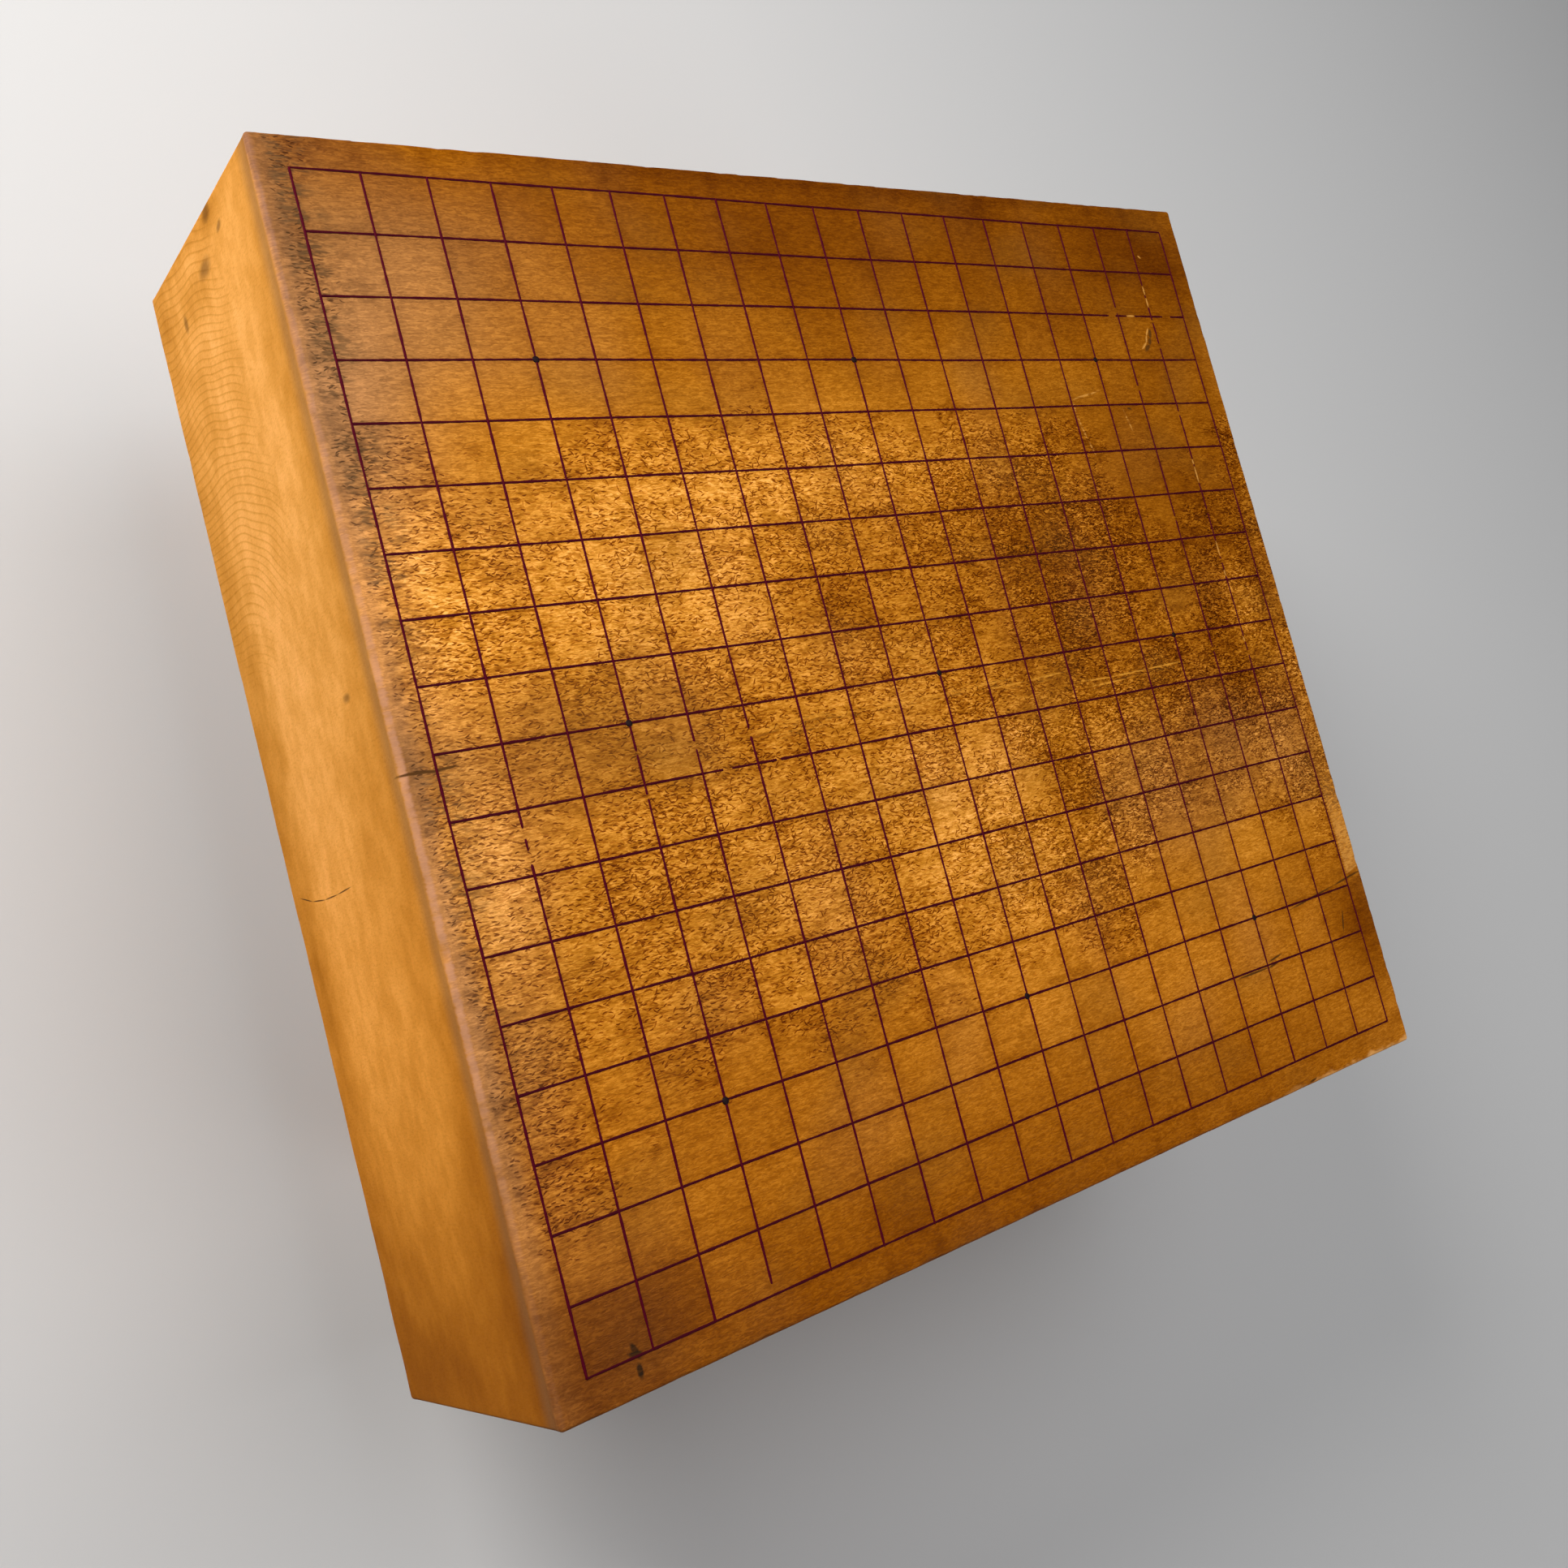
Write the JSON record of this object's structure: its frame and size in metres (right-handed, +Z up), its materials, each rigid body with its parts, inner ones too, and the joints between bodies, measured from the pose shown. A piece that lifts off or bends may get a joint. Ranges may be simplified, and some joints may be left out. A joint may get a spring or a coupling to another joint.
{
  "type": "go board",
  "caption": "Floor go board: a thick wooden block with a raised lacquer grid and star points, standing on four carved ribbed legs whose tenons pull out of mortises in its underside.",
  "frame": {"origin": "on the floor, under the middle of the block", "axes": "+Z up out of the playing face, +X along the grain and the longer side, front at -Y"},
  "size_m": [0.4506, 0.42, 0.2304],
  "materials": {
    "block_wood": "old waxed wood, amber, dented by play and worn pale along the edges",
    "leg_wood": "carved wood, waxed, amber brown",
    "line_lacquer": "raised dark lacquer, satin, worn in places",
    "star_lacquer": "raised black lacquer, satin"
  },
  "bodies": {
    "board": {"board_block": "block_wood", "lengthwise_lines": "line_lacquer", "crosswise_lines": "line_lacquer", "star_points": "star_lacquer"},
    "front_left_leg": {"leg_front_left": "leg_wood"},
    "front_right_leg": {"leg_front_right": "leg_wood"},
    "rear_left_leg": {"leg_rear_left": "leg_wood"},
    "rear_right_leg": {"leg_rear_right": "leg_wood"}
  },
  "joints": [
    {"name": "front_left_leg_pull", "type": "slide", "parent": "board", "child": "front_left_leg", "axis": [0, 0, -1], "range_m": [0, 0.036]},
    {"name": "front_right_leg_pull", "type": "slide", "parent": "board", "child": "front_right_leg", "axis": [0, 0, -1], "range_m": [0, 0.036]},
    {"name": "rear_left_leg_pull", "type": "slide", "parent": "board", "child": "rear_left_leg", "axis": [0, 0, -1], "range_m": [0, 0.036]},
    {"name": "rear_right_leg_pull", "type": "slide", "parent": "board", "child": "rear_right_leg", "axis": [0, 0, -1], "range_m": [0, 0.036]}
  ]
}
